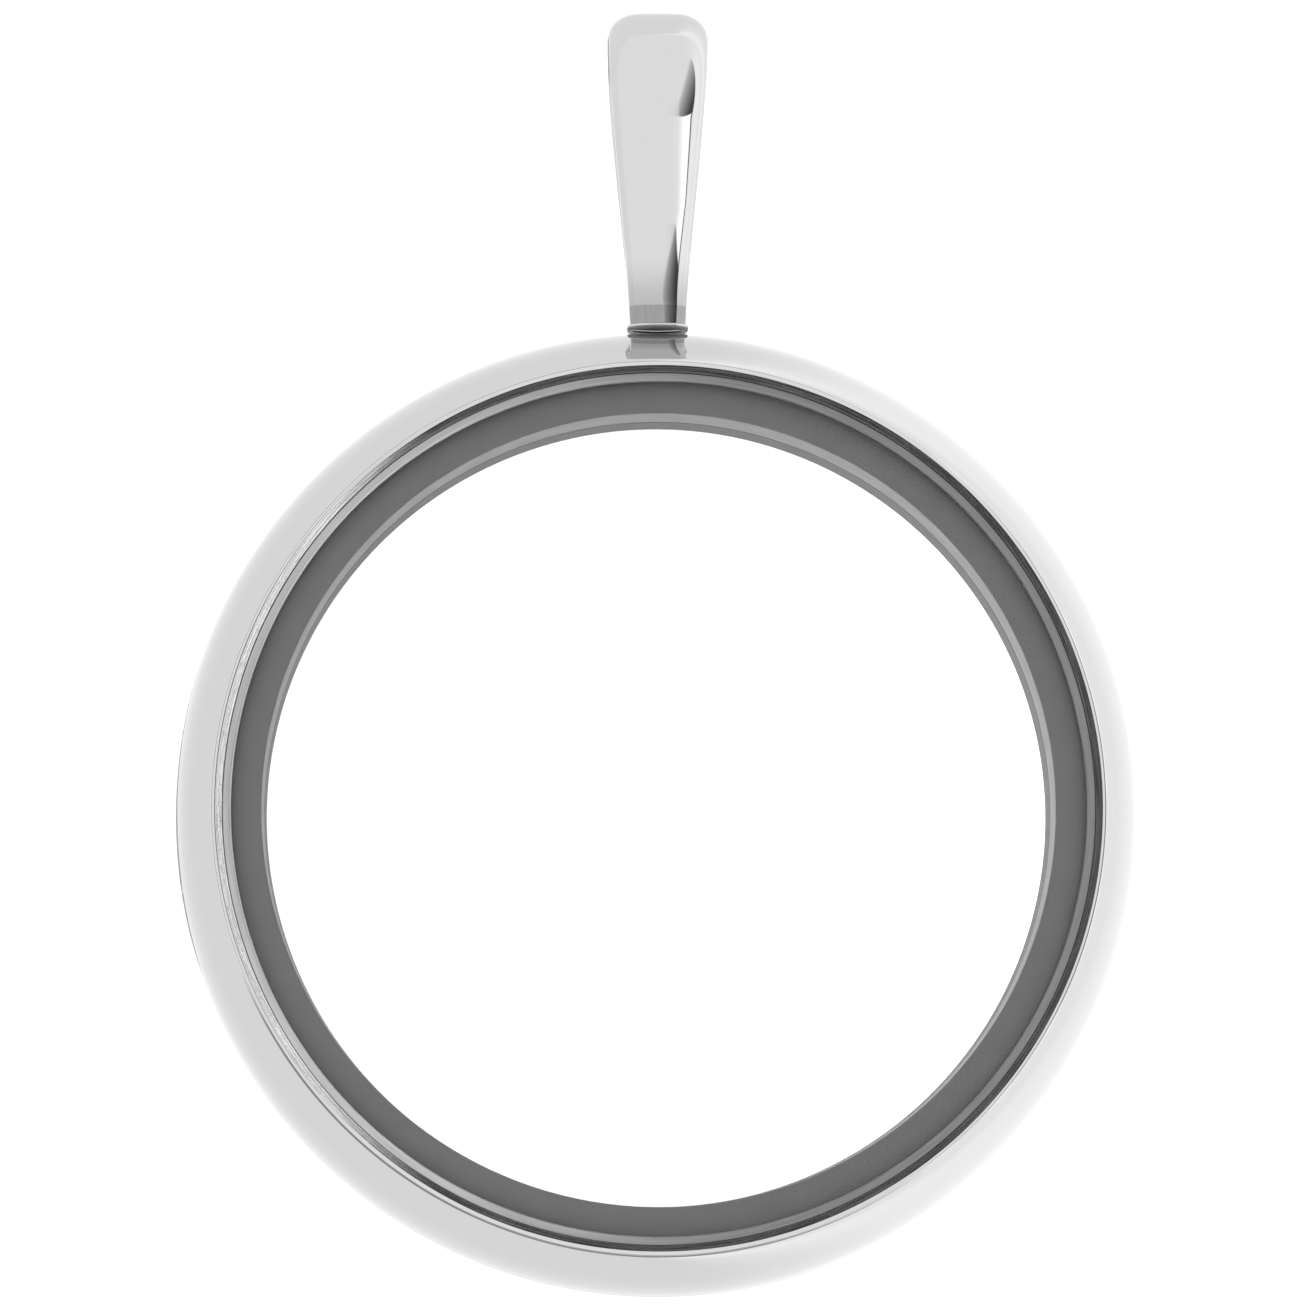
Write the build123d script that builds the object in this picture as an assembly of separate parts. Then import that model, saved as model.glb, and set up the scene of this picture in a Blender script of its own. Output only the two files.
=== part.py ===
"""Hinged glass locket on a long tapered bail, lying on its flat back.

Millimetres. +Z is the locket's front, +Y runs from the ring to the bail, and the hinge is on the -X side.
The origin is the middle of the outline, at the height of the flat back.
"""

from build123d import *
import math
import os

# Ring, as a turned section: widths are measured across the ring's wall, heights from the flat back
outer_diameter = 30.0
thickness = 7.5
widest_height = 2.2
back_edge_width = 0.6
dome_width = 1.39
dome_lean = 38.0
crest_round = 0.08
bevel_width = 0.24
bevel_lean = 45.0
seat_width = 1.17
parting_height = 3.3
parting_gap = 0.06
seam_chamfer = 0.1

# Windows: each pane lies on its ledge, under a square-edged spring ring
glass_thickness = 0.6
glass_chamfer = 0.08
ring_thickness = 0.3
ring_width = 0.24
ring_recess = 0.28
seat_gap = 0.02
seat_clearance = 0.03

# Closing lip on the back half, and its clearance in the groove of the front half
lip_wall = 0.3
lip_width = 0.4
lip_height = 0.35
lip_clearance = 0.1

# Hinge, flush with the ring's edge
hinge_length = 5.0
hinge_cover = 0.25
knuckle_radius = 0.75
knuckle_gap = 0.06
pocket_clearance = 0.08
pin_radius = 0.35
pin_running_clearance = 0.04
pin_fixed_clearance = 0.015
stop_angle = 104.0

# Bail: a folded strap, a teardrop from the side, tapered towards the ring
bail_length = 10.0
bail_top_width = 3.1
bail_foot_width = 1.72
strap_thickness = 0.8
loop_depth = 5.6
bail_height = 3.4
foot_depth = 2.6
foot_height = 0.75
foot_blend = 2.5
foot_clearance = 0.1
foot_root = 0.8
collar_height = 0.16
collar_proud = 0.06
solid_foot_height = 1.9
hole_foot_radius = 0.45
strap_edge_round = 0.5
hole_edge_round = 0.1

# Sizes that follow from these
outer_radius = outer_diameter / 2
crest_radius = outer_radius - dome_width
seat_radius = crest_radius - bevel_width
window_radius = seat_radius - seat_width
back_face_radius = outer_radius - back_edge_width
lip_inner_radius = window_radius + lip_wall
lip_outer_radius = lip_inner_radius + lip_width
ring_centre = -bail_length / 2
base_y = ring_centre + outer_radius
top_y = base_y + bail_length
hinge_inset = hinge_cover + knuckle_radius
hinge_x = hinge_inset - outer_radius
pane_radius = seat_radius - seat_clearance
lean = math.radians(bevel_lean)
bevel_start_radius = crest_radius - crest_round * math.cos(lean)
bevel_start_height = thickness - crest_round + crest_round * math.sin(lean)
bevel_drop = (bevel_start_radius - seat_radius) / math.tan(lean)
front_seat_top = bevel_start_height - bevel_drop
front_ring_top = front_seat_top - ring_recess
stack_height = ring_thickness + glass_thickness + 2 * seat_gap
front_ledge = front_ring_top - stack_height
back_ledge = stack_height

# The dome is part of an ellipse that stands upright at the widest height and meets the crest's round
# smoothly at the dome's lean, measured from the horizontal
dome_slope = 1 / math.tan(math.radians(dome_lean))
dome_end_radius = crest_radius + crest_round * math.sin(math.radians(dome_lean))
dome_end_height = thickness - crest_round + crest_round * math.cos(math.radians(dome_lean))
dome_rise = dome_end_height - widest_height
dome_run = outer_radius - dome_end_radius
dome_offset = dome_run**2 / (dome_slope * dome_rise - 2 * dome_run)
dome_across = dome_run + dome_offset
dome_up = dome_across * math.sqrt(dome_rise / (dome_slope * dome_offset))
dome_turn = math.degrees(math.atan2(dome_rise / dome_up, dome_offset / dome_across))
loop_radius = loop_depth / 2
loop_centre_y = top_y - loop_radius

# Section plane of the ring: radius along +X, height along +Z
ring_plane = Plane((0, ring_centre, 0), x_dir=(1, 0, 0), z_dir=(0, -1, 0))
# Side view of the bail: +Y, then +Z
side_plane = Plane((0, 0, 0), x_dir=(0, 1, 0), z_dir=(1, 0, 0))


def turned(section):
    """Sweeps a section, drawn as radius and height, once round the ring's axis."""
    axis = Axis((0, ring_centre, 0), (0, 0, 1))
    return revolve(ring_plane * section, axis, 360)


def rectangle(inner, outer, low, high):
    """A rectangular section between two radii and two heights."""
    return Pos((inner + outer) / 2, (low + high) / 2) * Rectangle(outer - inner, high - low)


def polygon(points):
    """A flat face with straight sides."""
    return make_face(Polyline(*points, close=True).edges())


def dome_radius(height):
    """Outer radius of the dome at a height above the widest one."""
    share = (height - widest_height) / dome_up
    return outer_radius - dome_across + dome_across * math.sqrt(1 - share**2)


def ring_section():
    """Both halves in one section: flat back, rounded back edge, dome, crest, bevel, seats and bore."""
    with BuildSketch() as section:
        with BuildLine():
            Polyline(
                (back_face_radius, 0),
                (seat_radius, 0),
                (seat_radius, back_ledge),
                (window_radius, back_ledge),
                (window_radius, front_ledge),
                (seat_radius, front_ledge),
                (seat_radius, front_seat_top),
                (bevel_start_radius, bevel_start_height),
            )
            CenterArc(
                (crest_radius, thickness - crest_round),
                crest_round,
                90 - dome_lean,
                90 + dome_lean - bevel_lean,
            )
            EllipticalCenterArc(
                (outer_radius - dome_across, widest_height),
                dome_across,
                dome_up,
                start_angle=0,
                arc_size=dome_turn,
            )
            EllipticalCenterArc(
                (back_face_radius, widest_height),
                outer_radius - back_face_radius,
                widest_height,
                start_angle=-90,
                arc_size=90,
            )
        make_face()
    return section.sketch


def seam_groove():
    """The V that the two chamfered edges leave round the outside, at the parting height."""
    rim = dome_radius(parting_height)
    reach = parting_gap / 2 + seam_chamfer
    points = [
        (rim - seam_chamfer, parting_height),
        (rim + seam_chamfer, parting_height - 2 * reach),
        (rim + seam_chamfer, parting_height + 2 * reach),
    ]
    return polygon(points)


def hinge_cylinder(radius, low, high):
    """A cylinder on the hinge's axis, between two distances along Y from the ring's centre."""
    middle = (hinge_x, ring_centre + (low + high) / 2, parting_height)
    return Pos(*middle) * Rot(X=90) * Cylinder(radius, high - low)


def hinge_relief():
    """The V along the hinge's edge of both halves, which lets the front half swing to its stop."""
    reach = 2 * hinge_inset
    height = reach * math.tan(math.radians(stop_angle / 2))
    points = [
        (hinge_x, parting_height),
        (hinge_x - reach, parting_height + height),
        (hinge_x - reach, parting_height - height),
    ]
    return extrude(ring_plane * polygon(points), amount=outer_radius, both=True)


def knuckle_spans(half):
    """Distances along Y of a half's knuckles: two on the back half, and one between them on the front half."""
    edge = hinge_length / 2
    inner = hinge_length / 6
    if half == "front":
        return [(-inner + knuckle_gap / 2, inner - knuckle_gap / 2)]
    return [(-edge, -inner - knuckle_gap / 2), (inner + knuckle_gap / 2, edge)]


def hinged(shape, own, other, hole_clearance):
    """Adds a half's side of the hinge: relief, pockets for the other knuckles, own knuckles, pin hole."""
    shape = shape - hinge_relief()
    for low, high in knuckle_spans(other):
        pocket = hinge_cylinder(knuckle_radius + pocket_clearance, low - knuckle_gap, high + knuckle_gap)
        shape = shape - pocket
    for low, high in knuckle_spans(own):
        shape = shape + hinge_cylinder(knuckle_radius, low, high)
    reach = hinge_length / 2 + knuckle_gap
    return shape - hinge_cylinder(pin_radius + hole_clearance, -reach, reach)


def bail_side():
    """Side view of the bail: a round top, straight sides to the foot, and a straight foot with a soft blend."""
    half = foot_depth / 2
    kink = base_y + foot_height
    root = base_y - foot_root
    drop = loop_centre_y - kink
    reach = math.hypot(drop, half)
    rise_angle = math.asin(loop_radius / reach) - math.atan2(half, drop)
    run = math.sqrt(reach**2 - loop_radius**2)
    touch_y = kink + run * math.cos(rise_angle)
    touch_out = half + run * math.sin(rise_angle)
    with BuildSketch() as side:
        with BuildLine():
            Polyline(
                (touch_y, bail_height - touch_out),
                (kink, bail_height - half),
                (root, bail_height - half),
                (root, bail_height + half),
                (kink, bail_height + half),
                (touch_y, bail_height + touch_out),
            )
            ThreePointArc(
                (touch_y, bail_height + touch_out),
                (top_y, bail_height),
                (touch_y, bail_height - touch_out),
            )
        make_face()
        corners = [v for v in side.vertices() if abs(v.X - kink) < foot_height / 10]
        fillet(corners, foot_blend)
    return side.sketch


def bail_hole():
    """Side view of the loop's hole: a large round top, tangent to a small round foot."""
    top = Pos(loop_centre_y, bail_height) * Circle(loop_radius - strap_thickness)
    foot_y = base_y + solid_foot_height + hole_foot_radius
    foot = Pos(foot_y, bail_height) * Circle(hole_foot_radius)
    return make_hull(top.edges() + foot.edges())


def bail_front():
    """Front view of the bail: straight sides that spread from the foot to the top."""
    slope = (bail_top_width - bail_foot_width) / 2 / (bail_length - strap_edge_round)
    low_half = bail_foot_width / 2 - slope * foot_root
    top_half = bail_foot_width / 2 + slope * bail_length
    low = base_y - foot_root
    return polygon([(-low_half, low), (low_half, low), (top_half, top_y), (-top_half, top_y)])


def bail_collar():
    """The rounded bead at the foot, where the solder line is."""
    width = bail_foot_width + 2 * collar_proud
    depth = foot_depth + 2 * collar_proud
    plate = RectangleRounded(width, depth, strap_edge_round + collar_proud)
    low = base_y + foot_clearance
    plane = Plane((0, low, bail_height), x_dir=(1, 0, 0), z_dir=(0, 1, 0))
    bead = extrude(plane * plate, amount=collar_height)
    return fillet(bead.edges().filter_by(GeomType.LINE, reverse=True), collar_proud)


def on_hole(edge):
    """True for an edge that bounds the loop's hole."""
    wall = bail_hole().edges()
    middle = edge @ 0.5
    flat = Vector(middle.Y, middle.Z, 0)
    return min(line.distance_to(flat) for line in wall) < hole_edge_round / 10


def bail():
    """The whole bail, with room for the front half under its foot."""
    blank = extrude(side_plane * bail_side(), amount=bail_top_width, both=True)
    solid = blank & extrude(bail_front(), amount=thickness + loop_depth)
    outer_edges = [
        e for e in solid.edges()
        if abs(e.center().X) > bail_foot_width / 4 and e.center().Y > base_y - foot_root / 2
    ]
    solid = fillet(outer_edges, strap_edge_round)
    solid = solid - extrude(side_plane * bail_hole(), amount=bail_top_width, both=True)
    hole_edges = [e for e in solid.edges() if e.length > hole_foot_radius and on_hole(e)]
    solid = fillet(hole_edges, hole_edge_round)
    solid = solid + bail_collar()
    room = rectangle(window_radius, outer_radius + foot_clearance, parting_height - parting_gap / 2, thickness)
    return solid - turned(room)


def back_half():
    """Back half of the ring with its closing lip, hinge knuckles and the soldered bail."""
    face = parting_height - parting_gap / 2
    section = ring_section() & rectangle(0, outer_diameter, 0, face)
    section = section - seam_groove()
    lip = rectangle(lip_inner_radius, lip_outer_radius, face - lip_height, parting_height + lip_height)
    half = turned(section + lip)
    return hinged(half, "back", "front", pin_fixed_clearance) + bail()


def front_half():
    """Front half of the ring, with the groove for the lip and its hinge knuckle."""
    face = parting_height + parting_gap / 2
    section = ring_section() & rectangle(0, outer_diameter, face, thickness)
    section = section - seam_groove()
    groove = rectangle(
        lip_inner_radius - lip_clearance,
        lip_outer_radius + lip_clearance,
        parting_height - lip_height,
        parting_height + lip_height + lip_clearance,
    )
    return hinged(turned(section - groove), "front", "back", pin_running_clearance)


def glass(low):
    """A round pane with ground edges, from a height up."""
    pane = Pos(0, ring_centre, low + glass_thickness / 2) * Cylinder(pane_radius, glass_thickness)
    return chamfer(pane.edges(), glass_chamfer)


def spring_ring(low):
    """The ring that holds a pane on its ledge, from a height up."""
    return turned(rectangle(pane_radius - ring_width, pane_radius, low, low + ring_thickness))


def hinge_pin():
    """The pin through all three knuckles."""
    return hinge_cylinder(pin_radius, -hinge_length / 2, hinge_length / 2)


pieces = {
    "back_frame_with_bail": back_half(),
    "front_frame": front_half(),
    "back_glass": glass(back_ledge - seat_gap - glass_thickness),
    "front_glass": glass(front_ledge + seat_gap),
    "back_glass_ring": spring_ring(0),
    "front_glass_ring": spring_ring(front_ring_top - ring_thickness),
    "hinge_pin": hinge_pin(),
}

os.makedirs("parts", exist_ok=True)
for name, shape in pieces.items():
    export_step(shape, f"parts/{name}.step")
    print(name, round(shape.volume, 3), "mm3")
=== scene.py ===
"""Studio scene of a hinged glass locket: its visible surfaces, their finishes, the light and the camera.

Metres throughout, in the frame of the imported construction: +Z is the locket's front, +Y runs from the ring
to the bail, and the hinge is on the -X side. A size written in millimetres carries the factor MM.
"""

from __future__ import annotations

import logging
import math
from collections.abc import Sequence
from dataclasses import dataclass, field
from enum import Enum

import bmesh
import bpy
import numpy as np
from mathutils import Matrix, Vector

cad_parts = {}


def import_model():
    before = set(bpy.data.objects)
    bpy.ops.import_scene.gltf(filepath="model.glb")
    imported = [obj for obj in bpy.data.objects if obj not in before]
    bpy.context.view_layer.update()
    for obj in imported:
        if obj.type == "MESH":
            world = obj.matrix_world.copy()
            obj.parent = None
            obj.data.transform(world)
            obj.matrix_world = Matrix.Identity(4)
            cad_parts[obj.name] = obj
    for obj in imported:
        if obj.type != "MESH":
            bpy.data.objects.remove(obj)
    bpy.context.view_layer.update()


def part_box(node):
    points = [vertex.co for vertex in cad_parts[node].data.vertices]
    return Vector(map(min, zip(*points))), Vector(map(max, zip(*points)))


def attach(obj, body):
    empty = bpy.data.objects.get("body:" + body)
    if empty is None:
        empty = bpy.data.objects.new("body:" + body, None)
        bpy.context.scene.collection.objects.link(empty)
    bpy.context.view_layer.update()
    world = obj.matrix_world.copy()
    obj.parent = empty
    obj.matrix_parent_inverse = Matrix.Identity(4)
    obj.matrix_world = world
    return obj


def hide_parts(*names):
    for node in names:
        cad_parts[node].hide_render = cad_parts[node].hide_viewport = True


MM = 0.001
SHARP_ANGLE = math.radians(32)
LOG = logging.getLogger("locket")

Array = np.ndarray
Piece = bpy.types.Object
Material = bpy.types.Material
Socket = bpy.types.NodeSocket


class Half(Enum):
    """The two halves of the ring, named after their bodies."""

    BACK = "back"
    FRONT = "front"


class Surface(Enum):
    """The worked surfaces of the two frames, numbered as their material slots."""

    POLISHED = 0
    TURNED = 1
    LEDGE = 2
    FRONT_BORE = 3
    BACK_BORE = 4
    FITTED = 5
    SOLDERED = 6
    CREST = 7
    SOLDER = 8


class Cut(Enum):
    """How one closed mesh changes another."""

    ADD = "UNION"
    REMOVE = "DIFFERENCE"


# A closed outline in radius and height, anticlockwise: the points and the surface of each run of it. A run
# starts where the last one ends.
Section = list[tuple[Array, Surface]]


# Geometry


def run(*points: tuple[float, float]) -> Array:
    """Gives a straight run through points, each a radius and a height."""
    return np.array(points, float)


def arc(centre: tuple[float, float], radii: tuple[float, float], angles: Array) -> Array:
    """Gives points on an upright ellipse: centre + (a cos t, b sin t).

    Args:
        centre: The ellipse's centre.
        radii: Half its width and half its height.
        angles: The parameter t of each point, in radians.

    Returns:
        An array of points, one row each.
    """
    x, y = centre[0] + radii[0] * np.cos(angles), centre[1] + radii[1] * np.sin(angles)
    return np.stack([x, y], axis=1)


def full_turn(steps: int) -> Array:
    """Gives the angles of a whole turn in equal steps, without its last one."""
    return np.linspace(0, 2 * math.pi, steps, endpoint=False)


def smooth_step(t: Array) -> Array:
    """Gives 3 t^2 - 2 t^3, which eases from 0 to 1."""
    return 3 * t**2 - 2 * t**3


def joined(x: Array, y: Array, z: Array | float) -> Array:
    """Joins coordinates into points, repeating each along the axes that it lacks."""
    return np.stack(np.broadcast_arrays(x, y, z), axis=-1)


def even_turn(radii: tuple[float, float], start: float, end: float, steps: int) -> Array:
    """Gives an ellipse's parameters for which its normal turns by equal steps: tan t = (b / a) tan f.

    Equal turns of the normal keep a mirror finish smooth where the ellipse bends sharply.

    Args:
        radii: Half the ellipse's width a and half its height b.
        start: First angle f of the normal above the horizontal, in radians.
        end: Last angle of the normal.
        steps: Number of points.

    Returns:
        The parameters t, in radians.
    """
    normals = np.linspace(start, end, steps)
    return np.arctan2(radii[1] * np.sin(normals), radii[0] * np.cos(normals))


def quads(rows: int, columns: int, wrap_rows: bool, wrap_columns: bool) -> Array:
    """Gives the four vertex numbers of each face of a grid.

    Args:
        rows: Number of rows of vertices.
        columns: Number of vertices in a row.
        wrap_rows: True if the last row joins the first.
        wrap_columns: True if each row closes on itself.

    Returns:
        An array with a row of four numbers for each face.
    """
    index = np.arange(rows * columns).reshape(rows, columns)
    if wrap_rows:
        index = np.concatenate([index, index[:1]])
    if wrap_columns:
        index = np.concatenate([index, index[:, :1]], axis=1)
    corners = [index[:-1, :-1], index[:-1, 1:], index[1:, 1:], index[1:, :-1]]
    return np.stack(corners, axis=-1).reshape(-1, 4)


def build(name: str, points: Array, faces: Sequence[Sequence[int]], surfaces: Array | None = None) -> Piece:
    """Makes an object at the origin, with its place in its mesh and its faces pointing outwards.

    Args:
        name: The piece's name.
        points: Vertices in metres, in any array whose last axis is x, y, z.
        faces: Vertex numbers of each face.
        surfaces: Material slot of each face, or None for the first slot.

    Returns:
        The new object, linked to the scene.
    """
    mesh = bpy.data.meshes.new(name)
    mesh.from_pydata(points.reshape(-1, 3).tolist(), [], [list(f) for f in faces])
    if surfaces is not None:
        for _ in Surface:
            mesh.materials.append(None)
        mesh.polygons.foreach_set("material_index", np.asarray(surfaces, np.int32))
    edit = bmesh.new()
    edit.from_mesh(mesh)
    bmesh.ops.recalc_face_normals(edit, faces=edit.faces)
    edit.to_mesh(mesh)
    edit.free()
    piece = bpy.data.objects.new(name, mesh)
    bpy.context.scene.collection.objects.link(piece)
    return piece


def capped(name: str, loops: Array, surface: Surface = Surface.FITTED) -> Piece:
    """Joins a stack of closed loops with faces and closes its two ends.

    Args:
        name: The piece's name.
        loops: Vertices as loops, points and coordinates.
        surface: The material slot of all faces.

    Returns:
        The closed object.
    """
    count, size = loops.shape[:2]
    faces = quads(count, size, False, True).tolist()
    ends = [list(range(size)), list(range((count - 1) * size, count * size))]
    return build(name, loops, faces + ends, np.full(len(faces) + 2, surface.value))


def turned(name: str, section: Section, centre: Vector, steps: int) -> Piece:
    """Turns a section round a vertical axis: (cx + r cos a, cy + r sin a, z).

    Args:
        name: The piece's name.
        section: The outline to turn.
        centre: A point on the axis.
        steps: Faces in one whole turn.

    Returns:
        The closed ring.
    """
    outline = np.concatenate([points[:-1] for points, _ in section])
    slots = np.concatenate([np.full(len(points) - 1, surface.value) for points, surface in section])
    radius, angle = outline[:, :1], full_turn(steps)
    grid = joined(centre.x + radius * np.cos(angle), centre.y + radius * np.sin(angle), outline[:, 1:])
    return build(name, grid, quads(len(outline), steps, True, True), np.repeat(slots, steps))


def bar(name: str, outline: Array, low: float, high: float) -> Piece:
    """Makes a straight bar along Y, between two places, from an outline in x and z."""
    return capped(name, joined(outline[:, 0], np.array([[low], [high]]), outline[:, 1]))


def chamfered(
    name: str, centre: Vector, axis: int, span: tuple[float, float], radius: float, chamfer: float, steps: int
) -> Piece:
    """Makes a round plate or pin with chamfered ends.

    Args:
        name: The piece's name.
        centre: A point on its axis.
        axis: Number of the coordinate that the axis runs along.
        span: Its two ends along the axis.
        radius: Its radius.
        chamfer: Width and height of the chamfers.
        steps: Faces in one whole turn.

    Returns:
        The closed object.
    """
    low, high = span
    radii = np.array([radius - chamfer, radius, radius, radius - chamfer])[:, None]
    first, second = (number for number in range(3) if number != axis)
    angle = full_turn(steps)
    parts = [centre[first] + radii * np.cos(angle), centre[second] + radii * np.sin(angle)]
    parts.insert(axis, np.array([[low], [low + chamfer], [high - chamfer], [high]]))
    return capped(name, joined(*parts), Surface.POLISHED)


def combine(piece: Piece, tool: Piece, cut: Cut) -> None:
    """Adds a closed mesh to a piece or takes it away, and drops the tool.

    Args:
        piece: The piece, which keeps the result.
        tool: The closed mesh to add or remove.
        cut: Which of the two.
    """
    modifier = piece.modifiers.new(cut.name, "BOOLEAN")
    modifier.object = tool
    modifier.operation = cut.value
    modifier.solver = "MANIFOLD"
    graph = bpy.context.evaluated_depsgraph_get()
    result = bpy.data.meshes.new_from_object(piece.evaluated_get(graph))
    piece.modifiers.clear()
    old, piece.data = piece.data, result
    bpy.data.meshes.remove(old)
    result.name = piece.name
    bpy.data.objects.remove(tool)


# Materials


def linear(colour: str) -> tuple[float, float, float, float]:
    """Turns an sRGB hex colour into linear light.

    Args:
        colour: Six hex digits after a hash sign.

    Returns:
        Red, green, blue and an alpha of one.
    """
    parts = [int(colour[i : i + 2], 16) / 255 for i in (1, 3, 5)]
    light = [p / 12.92 if p <= 0.04045 else ((p + 0.055) / 1.055) ** 2.4 for p in parts]
    return (*light, 1.0)


class Shader:
    """The node tree of a material or of the world, filled from its inputs to its output."""

    def __init__(self, owner: Material | bpy.types.World) -> None:
        """Empties the owner's node tree.

        Args:
            owner: The material or the world.
        """
        owner.use_nodes = True
        self.owner, self.tree = owner, owner.node_tree
        self.tree.nodes.clear()

    def add(self, kind: str, inputs: dict | None = None, **settings: object) -> bpy.types.Node:
        """Adds a node with its settings, values and links.

        Args:
            kind: The node's type, without the word ShaderNode in front.
            inputs: For an input's name or number, the value that it gets or the output that feeds it.
            **settings: Values of the node's own properties.

        Returns:
            The new node.
        """
        node = self.tree.nodes.new("ShaderNode" + kind)
        for name, value in settings.items():
            setattr(node, name, value)
        for name, value in (inputs or {}).items():
            if isinstance(value, Socket):
                self.tree.links.new(value, node.inputs[name])
            else:
                node.inputs[name].default_value = value
        return node

    def math(self, operation: str, *values: float | Socket) -> Socket:
        """Adds a Math node that works on the values, and gives its output."""
        return self.add("Math", dict(enumerate(values)), operation=operation).outputs[0]

    def remap(
        self, value: Socket, low: float, high: float, ends: Sequence[float] = (0.0, 1.0), smooth: bool = False
    ) -> Socket:
        """Maps a value so that low and high become the two ends, and no result lies beyond them.

        Args:
            value: The value's output.
            low: Value that becomes the first end.
            high: Value that becomes the second end.
            ends: The two ends.
            smooth: True for a smooth step, False for a straight ramp.

        Returns:
            The result's output.
        """
        inputs = {"Value": value, "From Min": low, "From Max": high, "To Min": ends[0], "To Max": ends[1]}
        kind = "SMOOTHSTEP" if smooth else "LINEAR"
        return self.add("MapRange", inputs, interpolation_type=kind).outputs[0]

    def blend(self, share: Socket, first: str | Socket, second: str | Socket) -> Socket:
        """Mixes two colours, each a hex colour or an output. A share of one gives the second."""
        first, second = (linear(colour) if isinstance(colour, str) else colour for colour in (first, second))
        return self.add("Mix", {0: share, 6: first, 7: second}, data_type="RGBA").outputs[2]

    def noise(self, place: Socket, scale: float, detail: float, roughness: float = 0.5) -> Socket:
        """Adds cloudy noise at a place, and gives its value."""
        inputs = {"Vector": place, "Scale": scale, "Detail": detail, "Roughness": roughness}
        return self.add("TexNoise", inputs).outputs[0]

    def finish(self, kind: str, inputs: dict) -> Material | bpy.types.World:
        """Adds the surface's node and joins it to the tree's output.

        Args:
            kind: The surface node's type, as for add.
            inputs: Its inputs, as for add.

        Returns:
            The tree's owner.
        """
        surface = self.add(kind, inputs)
        output = "OutputWorld" if isinstance(self.owner, bpy.types.World) else "OutputMaterial"
        self.add(output, {"Surface": surface.outputs[0]})
        return self.owner


@dataclass(frozen=True)
class RingPlace:
    """Where the ring's axis stands, so that patterns can follow the turning.

    Attributes:
        centre: A point on the axis.
        radius: The ring's outer radius.
    """

    centre: Vector
    radius: float

    def coordinates(self, shader: Shader) -> tuple[Socket, Socket]:
        """Adds the nodes that follow the turning.

        Args:
            shader: The material's shader.

        Returns:
            The distance of (x, y) from the axis plus z, which changes across every turned face, and the
            angle round the axis, the arctangent of y over x.
        """
        shift = (-self.centre.x, -self.centre.y, 0.0)
        place = shader.add("TexCoord").outputs["Object"]
        centred = shader.add("Mapping", {"Vector": place, "Location": shift})
        split = shader.add("SeparateXYZ", {0: centred.outputs[0]}).outputs
        flat = shader.add("CombineXYZ", {"X": split["X"], "Y": split["Y"]})
        radius = shader.add("VectorMath", {0: flat.outputs[0]}, operation="LENGTH").outputs["Value"]
        return shader.math("ADD", radius, split["Z"]), shader.math("ARCTAN2", split["Y"], split["X"])

    def streaks(
        self, shader: Shader, width: float, length: float, detail: float, roughness: float = 0.5
    ) -> Socket:
        """Adds noise that is drawn out round the ring.

        Args:
            shader: The material's shader.
            width: Size of its grain across the turning.
            length: Size of its grain along the turning, at the ring's outer radius.
            detail: How many finer layers it has.
            roughness: How strong they are.

        Returns:
            The noise's output.
        """
        across, angle = self.coordinates(shader)
        x = shader.math("MULTIPLY", across, 1 / width)
        y = shader.math("MULTIPLY", angle, self.radius / length)
        return shader.noise(shader.add("CombineXYZ", {"X": x, "Y": y}).outputs[0], 1.0, detail, roughness)


@dataclass(frozen=True)
class PolishedSteel:
    """Stainless steel buffed to a mirror: clear reflections that faint wiping hairlines blur a little."""

    colour: str = "#C3C3C3"
    hairline_colour: str = "#C2C2C2"
    edge_tint: str = "#F0F0F0"
    roughness: float = 0.03
    hairline_roughness: float = 0.045
    hairline_gap: float = 0.12 * MM
    hairline_length: float = 25.0 * MM
    wear_range: tuple[float, float] = (0.45, 0.75)

    def material(self, ring: RingPlace) -> Material:
        """Makes the material, with hairlines that run round the ring.

        Args:
            ring: The ring's place.

        Returns:
            The new material.
        """
        shader = Shader(bpy.data.materials.new("mirror_polished_stainless_steel"))
        lines = ring.streaks(shader, self.hairline_gap, self.hairline_length, detail=4.0, roughness=0.6)
        wear = shader.remap(lines, *self.wear_range, smooth=True)
        inputs = {
            "Base Color": shader.blend(wear, self.colour, self.hairline_colour),
            "Roughness": shader.remap(wear, 0.0, 1.0, (self.roughness, self.hairline_roughness)),
            "Metallic": 1.0,
            "Specular Tint": linear(self.edge_tint),
        }
        return shader.finish("BsdfPrincipled", inputs)


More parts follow.
